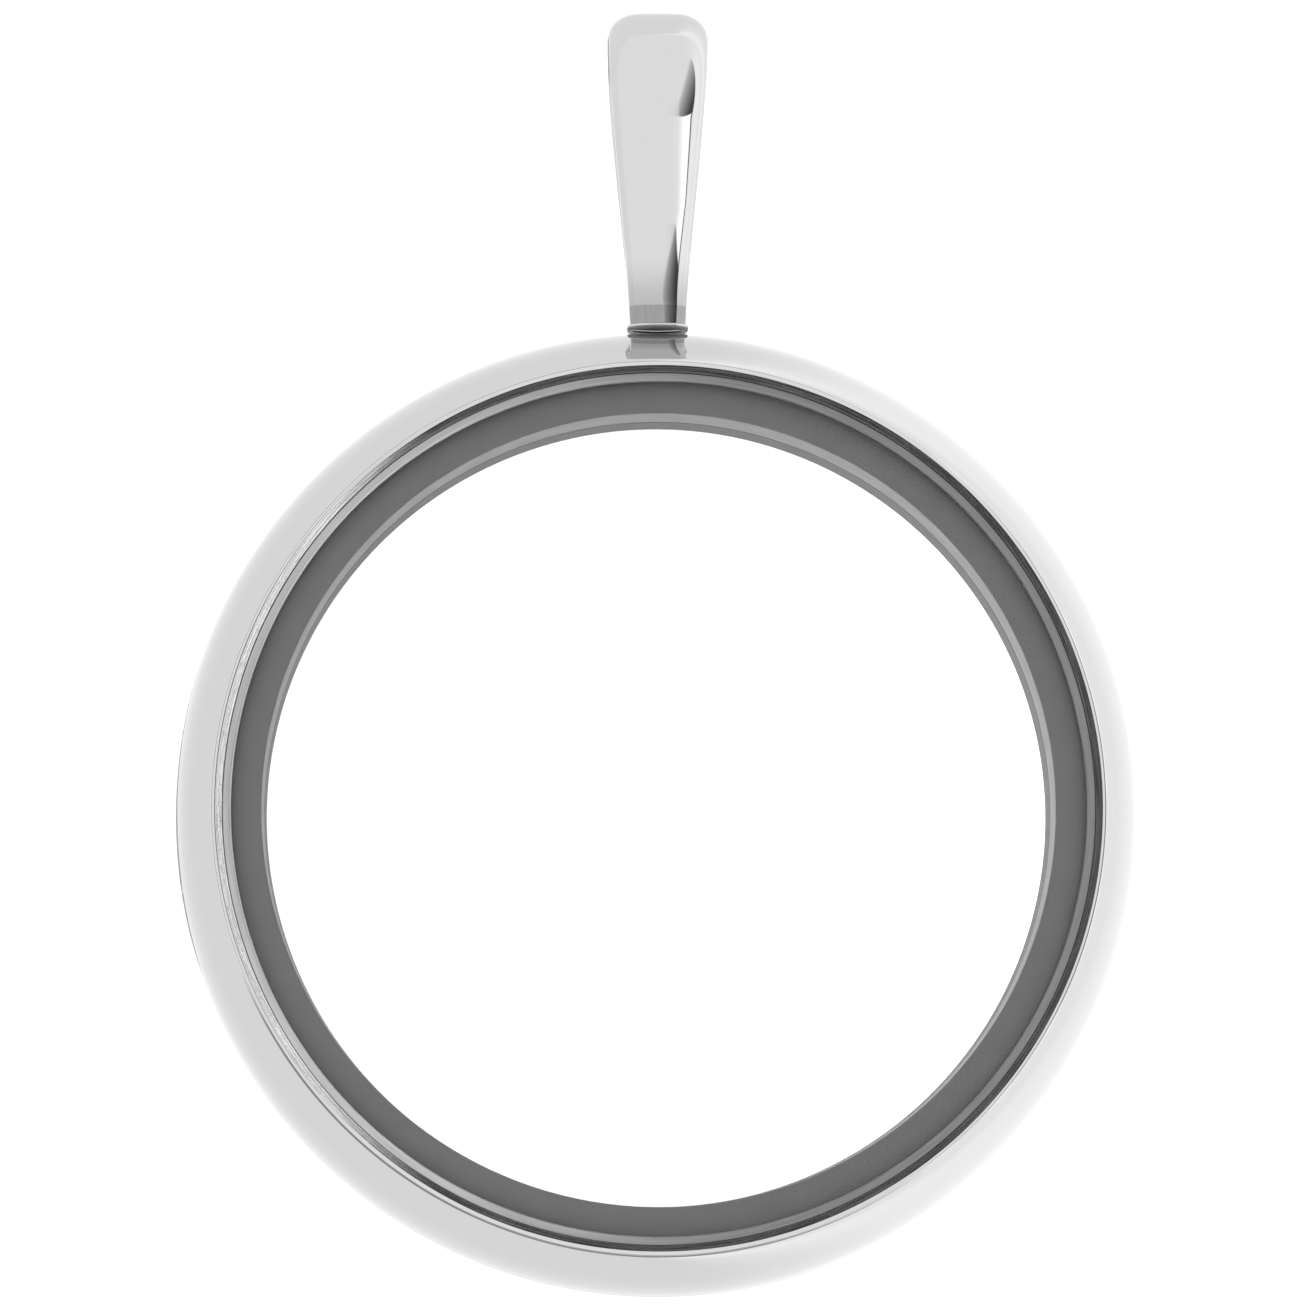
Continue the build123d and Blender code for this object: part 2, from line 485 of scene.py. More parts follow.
@dataclass(frozen=True)
class SolderedSteel:
    """Polished stainless steel, greyer towards the joint, with a band of painted reflection next to the
    joint.

    The polish comes back smoothly away from the joint; the band ends at a fine straight line.

    Attributes:
        joint: Height of the joint along Y.
    """

    joint: float
    painted_reflection_colour: str = "#8A8A8A"
    tinted_colour: str = "#A9A9A9"
    clean_colour: str = "#C3C3C3"
    band: float = 0.73 * MM
    band_fade: float = 0.04 * MM
    tint_reach: float = 2.3 * MM
    roughness: float = 0.05
    stroke_gap: float = 0.09 * MM
    stroke_length: float = 0.9 * MM
    stroke_range: tuple[float, float] = (0.3, 0.7)
    stroke_strength: float = 0.25

    def material(self) -> Material:
        """Makes the material.

        Returns:
            The new material, whose heat tint and band follow Y.
        """
        shader = Shader(bpy.data.materials.new("soldered_stainless_steel_foot"))
        place = shader.add("TexCoord").outputs["Object"]
        y = shader.add("SeparateXYZ", {0: place}).outputs["Y"]
        edge, half_fade = self.joint + self.band, self.band_fade / 2
        # Greyer towards the joint, fading to the clean colour by tint_reach.
        greyer_near_joint = shader.remap(y, edge, self.joint + self.tint_reach, smooth=True)
        tinted = shader.blend(greyer_near_joint, self.tinted_colour, self.clean_colour)
        scale = (1 / self.stroke_gap, 1 / self.stroke_length, 1 / self.stroke_length)
        spot = shader.add("Mapping", {"Vector": place, "Scale": scale}).outputs[0]
        strokes = shader.noise(spot, scale=1.0, detail=2.0)
        strength = shader.remap(strokes, *self.stroke_range, (0.0, self.stroke_strength))
        # Painted reflection: the grey band next to the joint stands in for the grey that the foot's flat face
        # mirrors; noise strokes streak it.
        band = shader.blend(strength, self.painted_reflection_colour, self.tinted_colour)
        painted_reflection_share = shader.remap(y, edge + half_fade, edge - half_fade)
        inputs = {
            "Base Color": shader.blend(painted_reflection_share, tinted, band),
            "Roughness": self.roughness,
            "Metallic": 1.0,
        }
        return shader.finish("BsdfPrincipled", inputs)


@dataclass(frozen=True)
class TurnedSteel:
    """Steel as the lathe leaves it: dull, with fine rings and torn spots that catch the light.

    The tool's feed of 0.02 mm is too fine for the render, so the rings are drawn about 0.06 mm apart, and
    their grooves are painted darker as painted shade. One side gets a lighter copy of the colours as painted
    light and the rest a darker copy as painted shade. The spring rings are turned too and then tumbled, which
    leaves them with hardly any relief.

    Attributes:
        name: The material's name.
        painted_light_side: 1 if the +X side gets the painted light and -1 if the -X side does.
    """

    name: str
    painted_light_side: float
    colour: str = "#646464"
    painted_groove_shade_colour: str = "#2C2C2C"
    painted_light_colour: str = "#E4E4E4"
    painted_light_groove_shade_colour: str = "#B0B0B0"
    painted_light_start: float = 0.5
    painted_light_full: float = 0.8
    roughness: float = 0.24
    ring_gap: float = 0.06 * MM
    ring_length: float = 2.5 * MM
    ring_range: tuple[float, float] = (0.3, 0.7)
    ring_depth: float = 0.006 * MM
    tear_length: float = 0.3 * MM
    tear_width: float = 0.07 * MM
    tear_range: tuple[float, float] = (0.56, 0.72)
    tear_height: float = 0.7

    def material(self, ring: RingPlace) -> Material:
        """Makes the material, with grooves that run round the ring.

        Args:
            ring: The ring's place.

        Returns:
            The new material.
        """
        shader = Shader(bpy.data.materials.new(self.name))
        rings = ring.streaks(shader, self.ring_gap, self.ring_length, detail=2.0, roughness=0.6)
        torn = ring.streaks(shader, self.tear_width, self.tear_length, detail=1.0)
        tears = shader.remap(torn, *self.tear_range)
        # Painted shade: where the rings' relief is low, in the grooves, the colour is darker.
        shade = shader.remap(rings, *self.ring_range)
        dull = shader.blend(shade, self.painted_groove_shade_colour, self.colour)
        painted_light_tone = shader.blend(shade, self.painted_light_groove_shade_colour, self.painted_light_colour)
        # Painted light and shade: by the angle round the ring, one side gets the lighter copy of the colours
        # and the rest the darker one.
        side = shader.math("COSINE", ring.coordinates(shader)[1])
        start, full = self.painted_light_side * self.painted_light_start, self.painted_light_side * self.painted_light_full
        relief = shader.math("MULTIPLY_ADD", tears, self.tear_height, rings)
        bump = shader.add("Bump", {"Height": relief, "Distance": self.ring_depth, "Strength": 1.0})
        inputs = {
            "Base Color": shader.blend(shader.remap(side, start, full, smooth=True), dull, painted_light_tone),
            "Roughness": self.roughness,
            "Metallic": 1.0,
            "Normal": bump.outputs[0],
        }
        return shader.finish("BsdfPrincipled", inputs)


@dataclass(frozen=True)
class SatinSteel:
    """Metal left matt by fine blasting or by its own oxide: an even grey that takes the light's tone."""

    name: str
    colour: str
    grain_colour: str
    roughness: float
    metallic: float = 1.0
    grain: float = 0.05 * MM
    grain_depth: float = 0.0015 * MM
    blotch: float = 1.0 * MM
    share_range: tuple[float, float] = (0.15, 0.4)

    def material(self) -> Material:
        """Makes the material.

        Returns:
            The new material, an even grey with a fine grain.
        """
        shader = Shader(bpy.data.materials.new(self.name))
        place = shader.add("TexCoord").outputs["Object"]
        grain = shader.noise(place, 1 / self.grain, detail=3.0, roughness=0.6)
        blotches = shader.noise(place, 1 / self.blotch, detail=2.0)
        share = shader.remap(shader.math("MULTIPLY", grain, blotches), *self.share_range)
        bump = shader.add("Bump", {"Height": grain, "Distance": self.grain_depth})
        inputs = {
            "Base Color": shader.blend(share, self.grain_colour, self.colour),
            "Roughness": self.roughness,
            "Metallic": self.metallic,
            "Normal": bump.outputs[0],
        }
        return shader.finish("BsdfPrincipled", inputs)


@dataclass(frozen=True)
class MineralGlass:
    """Polished mineral glass, thin and colourless: it shows only where it mirrors, most at grazing angles.

    The mirrored share follows Schlick's law, least + (1 - least)(1 - cos)^5.
    """

    tint: str = "#FEFEFE"
    least: float = 0.012
    roughness: float = 0.01

    def material(self) -> Material:
        """Makes the material.

        Returns:
            The new material, which lets light through straight.
        """
        shader = Shader(bpy.data.materials.new("polished_mineral_glass"))
        facing = shader.add("LayerWeight", {"Blend": 0.5}).outputs["Facing"]
        share = shader.remap(shader.math("POWER", facing, 5.0), 0.0, 1.0, (self.least, 1.0))
        clear = shader.add("BsdfTransparent", {"Color": linear(self.tint)})
        gloss = shader.add("BsdfGlossy", {"Roughness": self.roughness})
        return shader.finish("MixShader", {0: share, 1: clear.outputs[0], 2: gloss.outputs[0]})


class Finishes:
    """All materials of the locket.

    Attributes:
        frame: The frames' materials, in the order of Surface.
        spring: The spring rings' material.
        pin: The hinge pin's.
        glass: The panes'.
    """

    def __init__(self, ring: RingPlace) -> None:
        """Makes each material once.

        Args:
            ring: The ring's place.
        """
        # Painted shade: the crest line's darker grey paints the thin dark line that the dome's edge mirrors;
        # its +X side also gets painted light.
        crest = TurnedSteel(
            "fine_turned_stainless_steel_crest_painted_dark_line",
            painted_light_side=1.0,
            colour="#A0A0A0",
            painted_groove_shade_colour="#808080",
            painted_light_start=0.2,
        )
        # Painted light: the spring rings get a lighter copy of their colours on the -X side.
        spring = TurnedSteel(
            "tumbled_spring_steel",
            painted_light_side=-1.0,
            colour="#828282",
            painted_groove_shade_colour="#727272",
            painted_light_colour="#C8C8C8",
            painted_light_groove_shade_colour="#B4B4B4",
            painted_light_start=-0.3,
            painted_light_full=0.9,
            roughness=0.4,
            ring_depth=0.001 * MM,
        )
        self.frame: list[Material] = [
            PolishedSteel().material(ring),
            # Painted light: the bevel gets a lighter copy of its colours on the -X side and a darker one
            # elsewhere.
            TurnedSteel("fine_turned_stainless_steel_bevel", -1.0).material(ring),
            SatinSteel("lapped_stainless_steel_ledge", "#6F6F6F", "#6B6B6B", 0.5, grain_depth=0.0).material(),
            # Painted shade: the bore walls get darker greys, the back one darkest because it lies deepest in
            # the ring.
            SatinSteel("bored_stainless_steel_front_painted_shade", "#8C8C8C", "#7C7C7C", 0.5).material(),
            SatinSteel("bored_stainless_steel_back_painted_shade", "#4E4E4E", "#464646", 0.5).material(),
            SatinSteel("milled_stainless_steel", "#A8A8A8", "#929292", 0.3).material(),
            SolderedSteel(ring.centre.y + ring.radius).material(),
            crest.material(ring),
            # Painted light: the cut face behind the bead, which lies in shade, is painted a near-white matt.
            SatinSteel("matt_solder_painted_light", "#EEEEEE", "#DCDCDC", 0.6, metallic=0.0).material(),
        ]
        self.spring = spring.material(ring)
        self.pin = SatinSteel("drawn_steel_pin", "#C8C8C8", "#AAAAAA", 0.2).material()
        self.glass = MineralGlass().material()


def dress(piece: Piece, materials: list[Material], body: str, node: str) -> None:
    """Finishes a piece: smooth faces with sharp corners, materials, and its place in the assembly.

    Args:
        piece: The piece.
        materials: Its materials, in the order of its slots.
        body: The body that carries it.
        node: The construction's node that it stands for.
    """
    mesh = piece.data
    while len(mesh.materials) > len(materials):
        mesh.materials.pop()
    while len(mesh.materials) < len(materials):
        mesh.materials.append(None)
    for index, material in enumerate(materials):
        mesh.materials[index] = material
    mesh.polygons.foreach_set("use_smooth", np.ones(len(mesh.polygons), bool))
    mesh.set_sharp_from_angle(angle=SHARP_ANGLE)
    mesh.update()
    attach(piece, body)
    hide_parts(node)
    count = sum(len(p.vertices) - 2 for p in mesh.polygons)
    LOG.info("%s: %d triangles on body %s", piece.name, count, body)


# Pieces of the locket


@dataclass
class RingSizes:
    """Sizes of the ring's section and hinge that both halves share.

    Attributes:
        centre: A point on the ring's axis.
        outer: Radius at the widest height.
        top: Height of the crest.
    """

    centre: Vector
    outer: float
    top: float
    widest_height: float = 2.2 * MM
    back_edge_width: float = 0.6 * MM
    dome_width: float = 1.39 * MM
    dome_lean: float = math.radians(41)
    crest_round: float = 0.08 * MM
    bevel_width: float = 0.24 * MM
    bevel_lean: float = math.radians(45)
    bevel_grooves: int = 2
    groove_depth: float = 0.002 * MM
    seat_width: float = 1.17 * MM
    window_stack: float = 0.94 * MM
    ring_recess: float = 0.28 * MM
    parting: float = 3.3 * MM
    parting_gap: float = 0.06 * MM
    seam_chamfer: float = 0.1 * MM
    edge_break: float = 0.03 * MM
    lip_wall: float = 0.3 * MM
    lip_width: float = 0.4 * MM
    lip_height: float = 0.35 * MM
    lip_clearance: float = 0.1 * MM
    knuckle_radius: float = 0.75 * MM
    knuckle_gap: float = 0.06 * MM
    pocket_clearance: float = 0.08 * MM
    stop_angle: float = math.radians(104)
    turn_steps: int = 640
    hinge_steps: int = 96
    dome_steps: int = 44
    round_steps: int = 16
    groove_steps: int = 8

    @property
    def crest(self) -> float:
        """Radius of the crest."""
        return self.outer - self.dome_width

    @property
    def dome_top(self) -> float:
        """Height at which the dome meets the crest's round."""
        return self.top - self.crest_round * (1 - math.cos(self.dome_lean))

    @property
    def seat(self) -> float:
        """Radius of the seats that hold the panes."""
        return self.crest - self.bevel_width

    @property
    def bore(self) -> float:
        """Radius of the opening."""
        return self.seat - self.seat_width

    def dome(self, low: float, high: float) -> Array:
        """Gives the dome between two heights, from the low one up.

        It is part of an ellipse that stands upright at the widest height and meets the crest's round with
        the dome's lean. With m the slope of its normal there, and w and h the way to that point from the
        widest one, the middle lies w^2 / (m h - 2 w) further in.

        Args:
            low: The first height.
            high: The last height.

        Returns:
            Its points, each a radius and a height.
        """
        slope = 1 / math.tan(self.dome_lean)
        rise = self.dome_top - self.widest_height
        width = self.dome_width - self.crest_round * math.sin(self.dome_lean)
        offset = width**2 / (slope * rise - 2 * width)
        across = width + offset
        up = across * math.sqrt(rise / (slope * offset))
        shares = (np.clip([low, high], self.widest_height, self.dome_top) - self.widest_height) / up
        start, end = np.arctan2(across * shares, up * np.sqrt(1 - shares**2))
        angles = even_turn((across, up), start, end, self.dome_steps)
        return arc((self.outer - across, self.widest_height), (across, up), angles)

    def bevel(self) -> Array:
        """Gives the crest's round, then the bevel with its turned grooves, inwards and down to the seat.

        The bevel is a straight slope, less groove_depth (1 - cos(2 pi n u)) / 2 across it.

        Returns:
            Its points, each a radius and a height.
        """
        centre = (self.crest, self.top - self.crest_round)
        turn = np.linspace(math.pi / 2 - self.dome_lean, math.pi - self.bevel_lean, self.round_steps)
        crest = arc(centre, (self.crest_round,) * 2, turn)
        start = crest[-1]
        drop = (start[0] - self.seat) / math.tan(self.bevel_lean)
        share = np.linspace(0, 1, self.bevel_grooves * self.groove_steps + 1)[1:, None]
        slope = start + share * np.array([self.seat - start[0], -drop])
        depth = self.groove_depth * (1 - np.cos(2 * math.pi * self.bevel_grooves * share)) / 2
        inwards = np.array([math.cos(self.bevel_lean), -math.sin(self.bevel_lean)])
        return np.concatenate([crest, slope + depth * inwards])


@dataclass
class RingHalf:
    """One half of the ring, with its side of the hinge.

    Attributes:
        half: Which half it is.
        sizes: The ring's sizes.
        axis: A point on the hinge's axis, half way along it.
        pin_radius: The hinge pin's radius.
        hinge_length: Length of all three knuckles.
        pin_clearance: Gap between this half's knuckles and the pin.
    """

    half: Half
    sizes: RingSizes
    axis: Vector
    pin_radius: float
    hinge_length: float
    pin_clearance: float

    def section(self) -> Section:
        """Gives the half's outline with the surface of each stretch."""
        return self.back_section() if self.half is Half.BACK else self.front_section()

    def seam_edge(self, side: int) -> tuple[Array, float]:
        """Gives the outside chamfer at the parting, and the parting face's height.

        Args:
            side: 1 for the front half and -1 for the back half.

        Returns:
            The chamfer's points from the parting face outwards, and the face's height.
        """
        s = self.sizes
        face = s.parting + side * s.parting_gap / 2
        edge = s.dome(s.parting + side * s.seam_chamfer, s.top)[0]
        rim = s.dome(s.parting, s.top)[0][0]
        return np.array([[rim - s.seam_chamfer, face], edge]), face

    def front_section(self) -> Section:
        """Works out the front half's outline.

        Returns:
            Its parting face with the groove, dome, crest, bevel, seat, ledge and bore.
        """
        s = self.sizes
        chamfer, face = self.seam_edge(1)
        dome = s.dome(chamfer[1][1], s.dome_top)
        bevel = s.bevel()
        ledge = bevel[-1][1] - s.ring_recess - s.window_stack
        groove_in = s.bore + s.lip_wall - s.lip_clearance
        groove_out = s.bore + s.lip_wall + s.lip_width + s.lip_clearance
        top = s.parting + s.lip_height + s.lip_clearance
        b = s.edge_break
        groove = run((groove_in, face), (groove_in, top), (groove_out, top), (groove_out, face))
        fitted = np.concatenate([run((s.bore + b, face)), groove, chamfer[:1]])
        bore = run((s.bore + b, ledge), (s.bore, ledge - b), (s.bore, face + b), (s.bore + b, face))
        return [
            (fitted, Surface.FITTED),
            (chamfer, Surface.POLISHED),
            (dome[:-1], Surface.POLISHED),
            (dome[-2:], Surface.CREST),
            (bevel[: s.round_steps], Surface.POLISHED),
            (bevel[s.round_steps - 1 :], Surface.TURNED),
            (run(tuple(bevel[-1]), (s.seat, ledge)), Surface.FITTED),
            (run((s.seat, ledge), (s.bore + b, ledge)), Surface.LEDGE),
            (bore, Surface.FRONT_BORE),
        ]

    def back_section(self) -> Section:
        """Works out the back half's outline.

        Returns:
            Its flat back, round edge, lower dome, parting face with the lip, bore, ledge and seat.
        """
        s = self.sizes
        chamfer, face = self.seam_edge(-1)
        flat = s.outer - s.back_edge_width
        radii = (s.back_edge_width, s.widest_height)
        edge = arc((flat, s.widest_height), radii, even_turn(radii, -math.pi / 2, 0, s.dome_steps))
        near = s.bore + s.lip_wall
        far = near + s.lip_width
        top = s.parting + s.lip_height
        stack = s.window_stack
        b = s.edge_break
        lip = run((far, face), (far, top - b), (far - b, top), (near + b, top), (near, top - b), (near, face))
        bore = run((s.bore + b, face), (s.bore, face - b), (s.bore, stack + b), (s.bore + b, stack))
        return [
            (run((s.seat + b, 0), (flat, 0)), Surface.POLISHED),
            (edge, Surface.POLISHED),
            (s.dome(s.widest_height, chamfer[1][1]), Surface.POLISHED),
            (chamfer[::-1], Surface.POLISHED),
            (np.concatenate([chamfer[:1], lip, bore[:1]]), Surface.FITTED),
            (bore, Surface.BACK_BORE),
            (run((s.bore + b, stack), (s.seat, stack)), Surface.LEDGE),
            (run((s.seat, stack), (s.seat, b), (s.seat + b, 0)), Surface.FITTED),
        ]

    def knuckle_spans(self, half: Half) -> list[tuple[float, float]]:
        """Shares the hinge's length out: two knuckles on the back half and one between them in front.

        Args:
            half: The half that has the knuckles.

        Returns:
            The two ends of each, along Y.
        """
        middle = self.axis.y
        outer, inner, gap = self.hinge_length / 2, self.hinge_length / 6, self.sizes.knuckle_gap / 2
        if half is Half.FRONT:
            return [(middle - inner + gap, middle + inner - gap)]
        return [(middle - outer, middle - inner - gap), (middle + inner + gap, middle + outer)]

    def cylinder(self, radius: float, low: float, high: float) -> Piece:
        """Makes a cylinder on the hinge's axis between two places along Y."""
        outline = arc((self.axis.x, self.axis.z), (radius, radius), full_turn(self.sizes.hinge_steps))
        return bar("hinge_tool", outline, low, high)

    def relief(self) -> Piece:
        """Makes the V that frees the hinge's edge of both halves up to the stop.

        Returns:
            The closed mesh to take away.
        """
        reach = 2 * (self.sizes.outer + self.axis.x)
        rise = reach * math.tan(self.sizes.stop_angle / 2)
        x, z = self.axis.x, self.axis.z
        outline = run((x, z), (x - reach, z + rise), (x - reach, z - rise))
        return bar("relief_tool", outline, self.axis.y - self.sizes.outer, self.axis.y + self.sizes.outer)

    def build(self) -> Piece:
        """Builds the half with its relief, pockets, knuckles and pin hole.

        Returns:
            The piece, not yet dressed.
        """
        s = self.sizes
        other = Half.FRONT if self.half is Half.BACK else Half.BACK
        piece = turned(f"{self.half.value}_frame_turned", self.section(), s.centre, s.turn_steps)
        combine(piece, self.relief(), Cut.REMOVE)
        pocket = s.knuckle_radius + s.pocket_clearance
        for low, high in self.knuckle_spans(other):
            combine(piece, self.cylinder(pocket, low - s.knuckle_gap, high + s.knuckle_gap), Cut.REMOVE)
        for low, high in self.knuckle_spans(self.half):
            combine(piece, self.cylinder(s.knuckle_radius, low, high), Cut.ADD)
        reach = self.hinge_length / 2 + s.knuckle_gap
        hole = self.cylinder(self.pin_radius + self.pin_clearance, self.axis.y - reach, self.axis.y + reach)
        combine(piece, hole, Cut.REMOVE)
        return piece


@dataclass
class Bail:
    """The folded strap on the back half: a teardrop from the side, crowned across, tapered to the ring.

    A collar of solder goes round its foot. In front, where the front half's room cuts the foot, a bead of
    solder lies across it, and the cut face behind the bead is matt and painted near-white: painted light
    where it lies in shade.

    Attributes:
        sizes: The ring's sizes.
        top_y: The bail's top along Y.
    """

    sizes: RingSizes
    top_y: float
    foot_half_width: float = 0.86 * MM
    top_half_width: float = 1.56 * MM
    straight_share: float = 0.6
    strap: float = 0.8 * MM
    loop_depth: float = 5.6 * MM
    middle_height: float = 3.4 * MM
    foot_depth: float = 2.6 * MM
    foot_height: float = 0.75 * MM
    foot_blend: float = 2.5 * MM
    foot_turn: float = math.radians(5.0)
    leg_blend: float = 13.0 * MM
    foot_root: float = 1.5 * MM
    foot_clearance: float = 0.1 * MM
    collar_height: float = 0.17 * MM
    collar_proud: float = 0.09 * MM
    bead_radius: float = 0.095 * MM
    bead_place: float = 0.06 * MM
    bead_rise: float = 0.06 * MM
    bead_drop: float = 0.085 * MM
    bead_turn: float = 1.55
    solid_foot: float = 1.9 * MM
    hole_foot_radius: float = 0.45 * MM
    flat_half_width: float = 0.6 * MM
    foot_flat_half_width: float = 0.08 * MM
    flat_fade: float = 3.2 * MM
    flat_bend: float = 0.02 / MM
    crown_depth: float = 0.3 * MM
    crown_growth: float = 0.42
    hole_round: float = 0.1 * MM
    solder_reach: float = 2.4 * MM
    flat_steps: int = 5
    crown_steps: int = 20
    round_steps: int = 6
    wall_steps: int = 6
    side_steps: int = 8
    foot_steps: int = 20
    bend_steps: int = 24
    leg_steps: int = 48
    loop_steps: int = 80
    collar_steps: int = 15
    bead_steps: int = 41
    bead_round_steps: int = 24

    @property
    def base_y(self) -> float:
        """The ring's outer edge under the bail."""
        return self.sizes.centre.y + self.sizes.outer

    @property
    def loop_radius(self) -> float:
        """Outer radius of the loop's round top."""
        return self.loop_depth / 2

    def half_width(self, y: Array) -> Array:
        """Gives half the strap's width at places along Y.

        It eases from the foot to the top: a smooth step for most of it, and sin(pi t / 2) for the rest.

        Args:
            y: The places.

        Returns:
            Half the width at each.
        """
        t = np.clip((y - self.base_y) / (self.top_y - self.base_y), 0, 1)
        ease = self.straight_share * smooth_step(t) + (1 - self.straight_share) * np.sin(math.pi * t / 2)
        return self.foot_half_width + (self.top_half_width - self.foot_half_width) * ease

    def outer_line(self) -> Array:
        """Works out half the strap's outer outline.

        The root, which the ring hides, ends in a half circle. The foot is straight. A short arc, then a long
        one of the leg blend's radius, turn into the leg, which is the common tangent of that arc's circle and
        the round top's. Its lean is asin((R + r) / distance) less the angle at which the two centres lie.

        Returns:
            Points in y and depth from the middle, from the root's middle to the top.
        """
        half, radius = self.foot_depth / 2, self.loop_radius
        loop_y = self.top_y - radius
        kink = self.base_y + self.foot_height - self.foot_blend * math.tan(self.foot_turn / 2)
        root = self.base_y - self.foot_root
        excess = self.leg_blend - self.foot_blend
        middle_y = kink - excess * math.sin(self.foot_turn)
        middle_depth = half + self.foot_blend + excess * math.cos(self.foot_turn)
        distance = math.hypot(loop_y - middle_y, middle_depth)
        lean = math.asin((radius + self.leg_blend) / distance) - math.atan2(middle_depth, loop_y - middle_y)
        quarter = -math.pi / 2
        short = np.linspace(quarter, quarter + self.foot_turn, self.round_steps)
        long = np.linspace(quarter + self.foot_turn, quarter + lean, self.bend_steps)
        bend = arc((kink, half + self.foot_blend), (self.foot_blend,) * 2, short)
        corner = np.concatenate([bend, arc((middle_y, middle_depth), (self.leg_blend,) * 2, long)[1:]])
        touch = np.array([loop_y - radius * math.sin(lean), radius * math.cos(lean)])
        share = np.linspace(0, 1, self.leg_steps)[1:-1, None]
        leg = corner[-1] + share * (touch - corner[-1])
        top = arc((loop_y, 0), (radius, radius), np.linspace(math.pi / 2 + lean, 0, self.loop_steps))
        bottom = arc((root + half, 0), (half, half), np.linspace(math.pi, math.pi / 2, self.foot_steps))
        foot = bottom[-1] + np.linspace(0, 1, self.foot_steps + 1)[1:-1, None] * (corner[0] - bottom[-1])
        return np.concatenate([bottom, foot, corner, leg, top])

    def hole_line(self) -> Array:
        """Works out half the hole's outline.

        It is the hull of a large round top and a small round foot, so its straight side leans by
        asin((R - r) / distance).

        Returns:
            Points in y and depth, one for each point of the outer outline.
        """
        radius, small = self.loop_radius - self.strap, self.hole_foot_radius
        top_y = self.top_y - self.loop_radius
        foot_y = self.base_y + self.solid_foot + small
        lean = math.asin((radius - small) / (top_y - foot_y))
        low_count = 2 * self.foot_steps - 1 + self.round_steps + self.bend_steps - 1
        foot = arc((foot_y, 0), (small, small), np.linspace(math.pi, math.pi / 2 + lean, low_count))
        top = arc((top_y, 0), (radius, radius), np.linspace(math.pi / 2 + lean, 0, self.loop_steps))
        share = np.linspace(0, 1, self.leg_steps)[1:-1, None]
        return np.concatenate([foot, foot[-1] + share * (top[0] - foot[-1]), top])

    @staticmethod
    def whole(line: Array) -> Array:
        """Mirrors half an outline in the middle plane, as a closed loop."""
        return np.concatenate([line, line[-2:0:-1] * np.array([1.0, -1.0])])

    @staticmethod
    def outwards(loop: Array) -> Array:
        """Works out the unit normal at each point of a closed loop, across the line between its neighbours.

        Args:
            loop: The loop's points, clockwise.

        Returns:
            The normals.
        """
        along = np.roll(loop, -1, axis=0) - np.roll(loop, 1, axis=0)
        normal = np.stack([-along[:, 1], along[:, 0]], axis=1)
        return normal / np.linalg.norm(normal, axis=1, keepdims=True)

    def flat(self, y: Array) -> Array:
        """Gives half the width of the strap's nearly flat middle, which narrows smoothly to the foot."""
        t = np.clip((y - self.base_y - self.foot_height) / self.flat_fade, 0, 1)
        return self.foot_flat_half_width + (self.flat_half_width - self.foot_flat_half_width) * smooth_step(t)

    def crown(self, line: Array, out: Array) -> tuple[Array, Array]:
        """Works out the strap's outer half section at each point of the outer line.

        With w the half width, f the flat's and u = (x - f) / (w - f) beyond the flat, the depth below the
        outer line is c x^2 + d (1 - sqrt(1 - u^2)), and d grows with w - f.

        Args:
            line: The outer line's points.
            out: The outer line's normals.

        Returns:
            Points in y and height for each place on the line and across the section, and their x.
        """
        turn = np.linspace(0, math.pi / 2, self.crown_steps)
        inner = np.linspace(0, 1, self.flat_steps + 1)[:-1]
        on_flat = np.concatenate([inner, np.ones_like(turn)])
        beyond = np.concatenate([np.zeros_like(inner), np.sin(turn)])
        width, flat = self.half_width(line[:, :1]), self.flat(line[:, :1])
        across = flat * on_flat + (width - flat) * beyond
        deep = self.crown_depth + self.crown_growth * (width - flat)
        down = self.flat_bend * across**2 + deep * (1 - np.sqrt(1 - beyond**2))
        points = line[:, None, :] - out[:, None, :] * down[..., None]
        return points, across * self.half_width(points[..., 0]) / width

    def strap_grid(self) -> Array:
        """Works out the whole strap as loops round its section, one for each point of its outline.

        A section runs from the outer middle over the crown and down the side, round the hole's edge and
        across the hole's wall, then back on the other side as a mirror image.

        Returns:
            Vertices as sections, points and coordinates.
        """
        outer, hole = self.whole(self.outer_line()), self.whole(self.hole_line())
        crown, crown_x = self.crown(outer, self.outwards(outer))
        turn = np.linspace(0, math.pi / 2, self.round_steps)
        into = self.hole_round * (1 - np.sin(turn))
        edge = hole[:, None, :] + self.outwards(hole)[:, None, :] * into[None, :, None]
        edge_x = self.half_width(edge[..., 0]) - self.hole_round * (1 - np.cos(turn))
        side_share = np.linspace(0, 1, self.side_steps + 1)[1:-1, None]
        side = crown[:, -1:] + side_share * (edge[:, :1] - crown[:, -1:])
        wall_share = np.linspace(1, 0, self.wall_steps)[1:]
        wall = np.repeat(hole[:, None, :], len(wall_share), axis=1)
        line = np.concatenate([crown, side, edge, wall], axis=1)
        wall_x = edge_x[:, -1:] * wall_share
        x = np.concatenate([crown_x, self.half_width(side[..., 0]), edge_x, wall_x], axis=1)
        right = np.concatenate([x[..., None], line], axis=2)
        grid = np.concatenate([right, right[:, -2:0:-1] * np.array([-1.0, 1.0, 1.0])], axis=1)
        grid[..., 2] += self.middle_height
        return grid

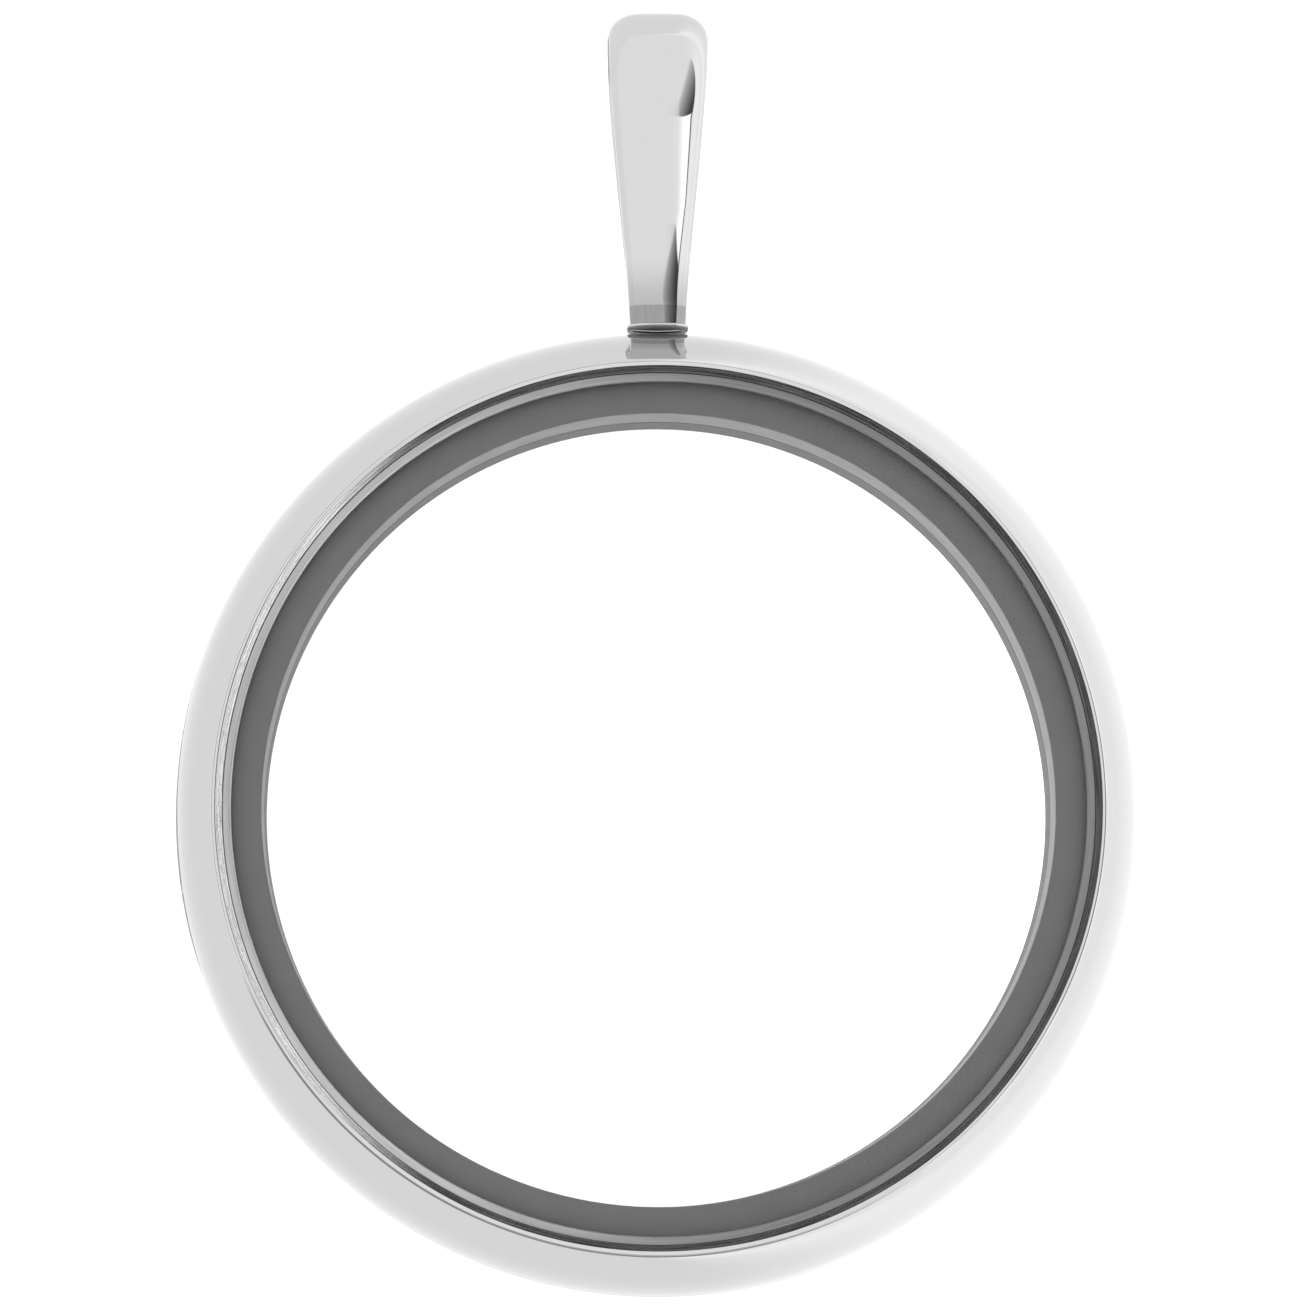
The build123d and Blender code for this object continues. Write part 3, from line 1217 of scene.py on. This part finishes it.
    def collar(self) -> Piece:
        """Makes the half-round collar of solder: the foot's own section, grown by proud cos(b).

        Returns:
            The closed mesh.
        """
        line = np.array([[self.base_y, self.foot_depth / 2]])
        crown, x = self.crown(line, np.array([[0.0, 1.0]]))
        upper = np.stack([x[0], crown[0, :, 1]], axis=1)
        right = np.concatenate([upper, upper[::-1] * np.array([1.0, -1.0])])
        section = np.concatenate([right, right[-2:0:-1] * np.array([-1.0, 1.0])])
        bulge = np.linspace(-math.pi / 2, math.pi / 2, self.collar_steps)
        grown = section + self.collar_proud * np.cos(bulge)[:, None, None] * self.outwards(section)
        y = self.base_y + self.collar_height * (1 + np.sin(bulge[:, None])) / 2
        loops = joined(grown[..., 0], y, self.middle_height + grown[..., 1])
        return capped("collar", loops, Surface.POLISHED)

    def bead(self) -> Piece:
        """Makes the bead of solder that closes the collar in front: a bar with its ends raised.

        Its radius is r sqrt(1 - t^6). t goes across the foot as a sine that stops just short of -1 and 1.

        Returns:
            The closed mesh.
        """
        share = np.sin(np.linspace(-self.bead_turn, self.bead_turn, self.bead_steps))[:, None]
        turn = full_turn(self.bead_round_steps)
        radius = self.bead_radius * np.sqrt(1 - share**6)
        x = (self.foot_half_width + self.collar_proud) * share
        y = self.base_y + self.bead_place + self.bead_rise * share**2 + radius * np.cos(turn)
        z = self.sizes.parting - self.bead_drop + radius * np.sin(turn)
        return capped("bead", joined(x, y, z), Surface.POLISHED)

    def room(self) -> Piece:
        """Makes the room for the front half under the bail's foot.

        Returns:
            The closed ring to take away.
        """
        s = self.sizes
        low, high = s.parting - s.parting_gap / 2, 2 * s.top
        inner, outer = s.bore, s.outer + self.foot_clearance
        corners = run((inner, low), (outer, low), (outer, high), (inner, high), (inner, low))
        return turned("room_tool", [(corners, Surface.SOLDER)], s.centre, s.turn_steps)

    def build(self) -> Piece:
        """Builds the strap with its collar and bead, and cuts the front half's room out.

        Returns:
            The bail as one closed mesh.
        """
        grid = self.strap_grid()
        faces = quads(*grid.shape[:2], True, True)
        middle = grid.reshape(-1, 3)[faces].mean(axis=1)[:, 1]
        soldered = middle < self.base_y + self.solder_reach
        strap = build("bail", grid, faces, np.where(soldered, Surface.SOLDERED.value, Surface.POLISHED.value))
        combine(strap, self.collar(), Cut.ADD)
        combine(strap, self.room(), Cut.REMOVE)
        combine(strap, self.bead(), Cut.ADD)
        return strap


@dataclass
class Window:
    """A glass pane and the square-edged spring ring that holds it on its ledge.

    Attributes:
        half: The half that they sit in.
        centre: A point on the ring's axis.
    """

    half: Half
    centre: Vector
    glass_chamfer: float = 0.08 * MM
    ring_width: float = 0.24 * MM
    ring_slack: float = 0.024 * MM
    outer_round: float = 0.02 * MM
    inner_round: float = 0.1 * MM
    ring_dish: float = 0.05 * MM
    round_steps: int = 8
    turn_steps: int = 480

    def pane(self, finishes: Finishes) -> None:
        """Builds the round pane with ground edges.

        Args:
            finishes: The locket's materials.
        """
        node = f"{self.half.value}_glass"
        low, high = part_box(node)
        size = ((low.z, high.z), (high.x - low.x) / 2, self.glass_chamfer)
        piece = chamfered(f"{node}_pane", self.centre, 2, *size, self.turn_steps)
        dress(piece, [finishes.glass], self.half.value, node)

    def spring(self, finishes: Finishes) -> None:
        """Builds the spring ring, with its corners tumbled round, most on the inside, and its face dished.

        Args:
            finishes: The locket's materials.
        """
        node = f"{self.half.value}_glass_ring"
        low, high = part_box(node)
        outer = (high.x - low.x) / 2 + self.ring_slack
        inner = outer - self.ring_slack - self.ring_width
        small, large = self.outer_round, self.inner_round
        corners = [
            (outer - small, low.z + small),
            (outer - small, high.z - small),
            (inner + large, high.z - self.ring_dish - large),
            (inner + large, low.z + large),
        ]
        quarter = math.pi / 2
        turns = [np.linspace(k * quarter, (k + 1) * quarter, self.round_steps) for k in (-1, 0, 1, 2)]
        rounds = [arc(c, (r, r), t) for c, r, t in zip(corners, (small, small, large, large), turns)]
        section = [(np.concatenate([*rounds, rounds[0][:1]]), Surface.POLISHED)]
        piece = turned(f"{node}_spring", section, self.centre, self.turn_steps)
        dress(piece, [finishes.spring], self.half.value, node)


@dataclass
class HingePin:
    """The drawn pin through all three knuckles, with chamfered ends."""

    chamfer: float = 0.05 * MM
    steps: int = 64

    def build(self, finishes: Finishes) -> None:
        """Builds the pin.

        Args:
            finishes: The locket's materials.
        """
        low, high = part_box("hinge_pin")
        size = ((low.y, high.y), (high.z - low.z) / 2, self.chamfer)
        piece = chamfered("hinge_pin_drawn", (low + high) / 2, 1, *size, self.steps)
        dress(piece, [finishes.pin], Half.BACK.value, "hinge_pin")


@dataclass
class Locket:
    """The whole locket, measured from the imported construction."""

    running_clearance: float = 0.04 * MM
    fixed_clearance: float = 0.015 * MM

    def __post_init__(self) -> None:
        """Reads the main sizes from the construction's boxes."""
        low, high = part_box("back_frame_with_bail")
        outer = (high.x - low.x) / 2
        self.top_y = high.y
        centre = Vector(((high.x + low.x) / 2, low.y + outer, 0.0))
        self.sizes = RingSizes(centre, outer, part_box("front_frame")[1].z)
        self.finishes = Finishes(RingPlace(centre, outer))

    def build(self) -> None:
        """Builds and dresses every piece."""
        low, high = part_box("hinge_pin")
        hinge = (self.sizes, (low + high) / 2, (high.z - low.z) / 2, high.y - low.y)
        front = RingHalf(Half.FRONT, *hinge, self.running_clearance).build()
        dress(front, self.finishes.frame, Half.FRONT.value, "front_frame")
        back = RingHalf(Half.BACK, *hinge, self.fixed_clearance).build()
        combine(back, Bail(self.sizes, self.top_y).build(), Cut.ADD)
        dress(back, self.finishes.frame, Half.BACK.value, "back_frame_with_bail")
        for half in Half:
            window = Window(half, self.sizes.centre)
            window.pane(self.finishes)
            window.spring(self.finishes)
        HingePin().build(self.finishes)


# Studio


@dataclass(frozen=True)
class Cone:
    """A soft-edged cone of directions. An angle of 90 degrees makes it half of the whole surroundings.

    Attributes:
        azimuth: Direction of the axis from +X towards +Y, in degrees.
        elevation: Height of the axis above the floor, in degrees.
        angle: Angle from the axis to the edge's middle, in degrees.
        softness: Width of the edge, in degrees.
        gain: Exponent of the edge's ramp: under one, most of the change lies at the outside.
    """

    azimuth: float
    elevation: float
    angle: float
    softness: float
    gain: float = 1.0

    def share(self, shader: Shader, direction: Socket) -> Socket:
        """Adds the nodes that tell the cone's inside from its outside.

        Args:
            shader: The world's shader.
            direction: The direction of sight.

        Returns:
            The output that is 1 inside the cone and 0 outside it.
        """
        a, e = math.radians(self.azimuth), math.radians(self.elevation)
        axis = (math.cos(a) * math.cos(e), math.sin(a) * math.cos(e), math.sin(e))
        cosine = shader.add("VectorMath", {0: direction, 1: axis}, operation="DOT_PRODUCT").outputs["Value"]
        outer = math.cos(math.radians(self.angle + self.softness / 2))
        inner = math.cos(math.radians(self.angle - self.softness / 2))
        return shader.math("POWER", shader.remap(cosine, outer, inner), self.gain)


@dataclass(frozen=True)
class Zone:
    """A brighter or darker part of the surroundings, where all its cones overlap."""

    light: float
    cones: tuple[Cone, ...]


@dataclass
class Studio:
    """Soft light from all round, a plain pale floor and the camera of a product shot.

    Attributes:
        screen_azimuths: Places along the low screen's foot, in degrees from +X towards +Y.
        screen_elevations: How high it reaches at each of them, in degrees as seen from the locket.
    """

    eye: Vector = field(default_factory=lambda: Vector((-3.88, -17.45, 254.1)) * MM)
    aim: Vector = field(default_factory=lambda: Vector((-0.07, -0.05, 3.0)) * MM)
    focal_pixels: float = 8087.0
    image_pixels: float = 1310.0
    sensor: float = 36.0
    light: float = 1.29
    floor_reach: float = 1.5
    floor_glow: float = 1.08
    floor_colour: str = "#606060"
    side_glow: float = 0.2
    side_glow_range: tuple[float, float] = (0.0, 14.0 * MM)
    near_glow: float = 0.12
    near_glow_line: float = 14.0 * MM
    near_glow_range: tuple[float, float] = (13.0 * MM, 3.0 * MM)
    screen_reach: float = 1.2
    screen_light: float = 0.45
    screen_azimuths: tuple[float, ...] = (200, 215, 240, 285, 308)
    screen_elevations: tuple[float, ...] = (0.5, 10, 6, 4.5, 0.5)
    screen_steps: int = 90
    side: Zone = Zone(1.5, (Cone(0, 0, 50, 40), Cone(0, -90, 114, 12.0)))
    window: Zone = Zone(1.85, (Cone(-93.5, -23.9, 90, 1), Cone(41.5, 78.7, 54, 1.5), Cone(0, 0, 76.5, 22)))
    sill: Zone = Zone(
        0.2,
        (
            Cone(-93.5, -23.9, 90, 1),
            Cone(41.5, 78.7, 58.2, 1.5),
            Cone(-138.5, -78.7, 126, 1.5),
            Cone(0, 0, 60, 30),
        ),
    )
    room: Zone = Zone(
        0.1,
        (
            Cone(86.5, 23.9, 90, 1),
            Cone(41.5, 78.7, 58.2, 1.5),
            Cone(-35.8, -7.9, 70, 40, 0.5),
            Cone(0, 0, 84, 8),
        ),
    )

    def make_world(self) -> None:
        """Lights the scene from all directions, with the studio's darker and brighter zones."""
        shader = Shader(bpy.data.worlds.new("studio"))
        direction = shader.add("TexCoord").outputs["Generated"]
        light: float | Socket = self.light
        for zone in (self.side, self.window, self.sill, self.room):
            share = zone.cones[0].share(shader, direction)
            for cone in zone.cones[1:]:
                share = shader.math("MULTIPLY", share, cone.share(shader, direction))
            light = shader.add("Mix", {0: share, 2: light, 3: zone.light}).outputs[0]
        white = (1.0, 1.0, 1.0, 1.0)
        bpy.context.scene.world = shader.finish("Background", {"Color": white, "Strength": light})

    def make_floor(self) -> None:
        """Lays a white acrylic sheet under the locket, lit from below, most under the ring's right edge."""
        shader = Shader(bpy.data.materials.new("back_lit_white_acrylic"))
        place = shader.add("TexCoord").outputs["Object"]
        across = shader.add("SeparateXYZ", {0: place}).outputs["X"]
        ends = (self.floor_glow, self.floor_glow + self.side_glow)
        right = shader.remap(across, *self.side_glow_range, ends, smooth=True)
        away = shader.math("ABSOLUTE", shader.math("SUBTRACT", across, self.near_glow_line))
        near = shader.remap(away, *self.near_glow_range, (0.0, self.near_glow), smooth=True)
        light = shader.add("Emission", {"Strength": shader.math("ADD", right, near)})
        sheet = shader.add("BsdfDiffuse", {"Color": linear(self.floor_colour)})
        side = np.array([-self.floor_reach, self.floor_reach])
        floor = build("studio_floor", joined(side, side[:, None], 0.0), quads(2, 2, False, False))
        if floor.data.polygons[0].normal.z < 0:
            floor.data.flip_normals()
        self.place(floor, shader.finish("AddShader", {0: light.outputs[0], 1: sheet.outputs[0]}))

    def make_screen(self) -> None:
        """Stands a low grey felt screen in front, which the polished edges mirror as a thin line.

        Its height is the reach times its elevation's tangent.
        """
        places = np.radians(self.screen_azimuths)
        azimuth = np.linspace(places[0], places[-1], self.screen_steps)
        elevation = np.radians(np.interp(azimuth, places, self.screen_elevations))
        height = np.stack([np.zeros_like(azimuth), np.tan(elevation)])
        grid = self.screen_reach * joined(np.cos(azimuth), np.sin(azimuth), height)
        board = build("front_screen", grid, quads(2, len(azimuth), False, False))
        board.visible_camera = False
        shader = Shader(bpy.data.materials.new("front_screen_felt"))
        self.place(board, shader.finish("Emission", {"Strength": self.screen_light}))

    @staticmethod
    def place(stand: Piece, material: Material) -> None:
        """Gives a part of the studio its material, and keeps its glow off the list of lamps to save time.

        Args:
            stand: The part.
            material: Its material.
        """
        material.cycles.emission_sampling = "NONE"
        stand.data.materials.append(material)

    def make_camera(self) -> None:
        """Stands the camera where the photographer's was, almost straight above the locket."""
        data = bpy.data.cameras.new("camera")
        data.sensor_fit = "HORIZONTAL"
        data.sensor_width = self.sensor
        data.lens = self.focal_pixels / self.image_pixels * self.sensor
        data.clip_start, data.clip_end = 0.01, 10.0
        camera = bpy.data.objects.new("camera", data)
        forward = (self.aim - self.eye).normalized()
        right = forward.cross(Vector((0, 1, 0))).normalized()
        up = right.cross(forward)
        turn = Matrix((right, up, -forward)).transposed().to_4x4()
        camera.matrix_world = Matrix.Translation(self.eye) @ turn
        bpy.context.scene.collection.objects.link(camera)
        bpy.context.scene.camera = camera

    def make(self) -> None:
        """Makes the world, the floor, the screen and the camera, and sets how light bounces and shows."""
        self.make_world()
        self.make_floor()
        self.make_screen()
        self.make_camera()
        view = bpy.context.scene.view_settings
        view.view_transform = "Standard"
        view.look = "None"
        paths = bpy.context.scene.cycles
        paths.max_bounces, paths.diffuse_bounces, paths.glossy_bounces = 8, 2, 6
        paths.transmission_bounces, paths.transparent_max_bounces = 4, 12


def main() -> None:
    """Loads the construction and builds the locket and its studio."""
    logging.basicConfig(level=logging.INFO, format="%(name)s: %(message)s")
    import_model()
    Locket().build()
    Studio().make()


if __name__ == "__main__":
    main()
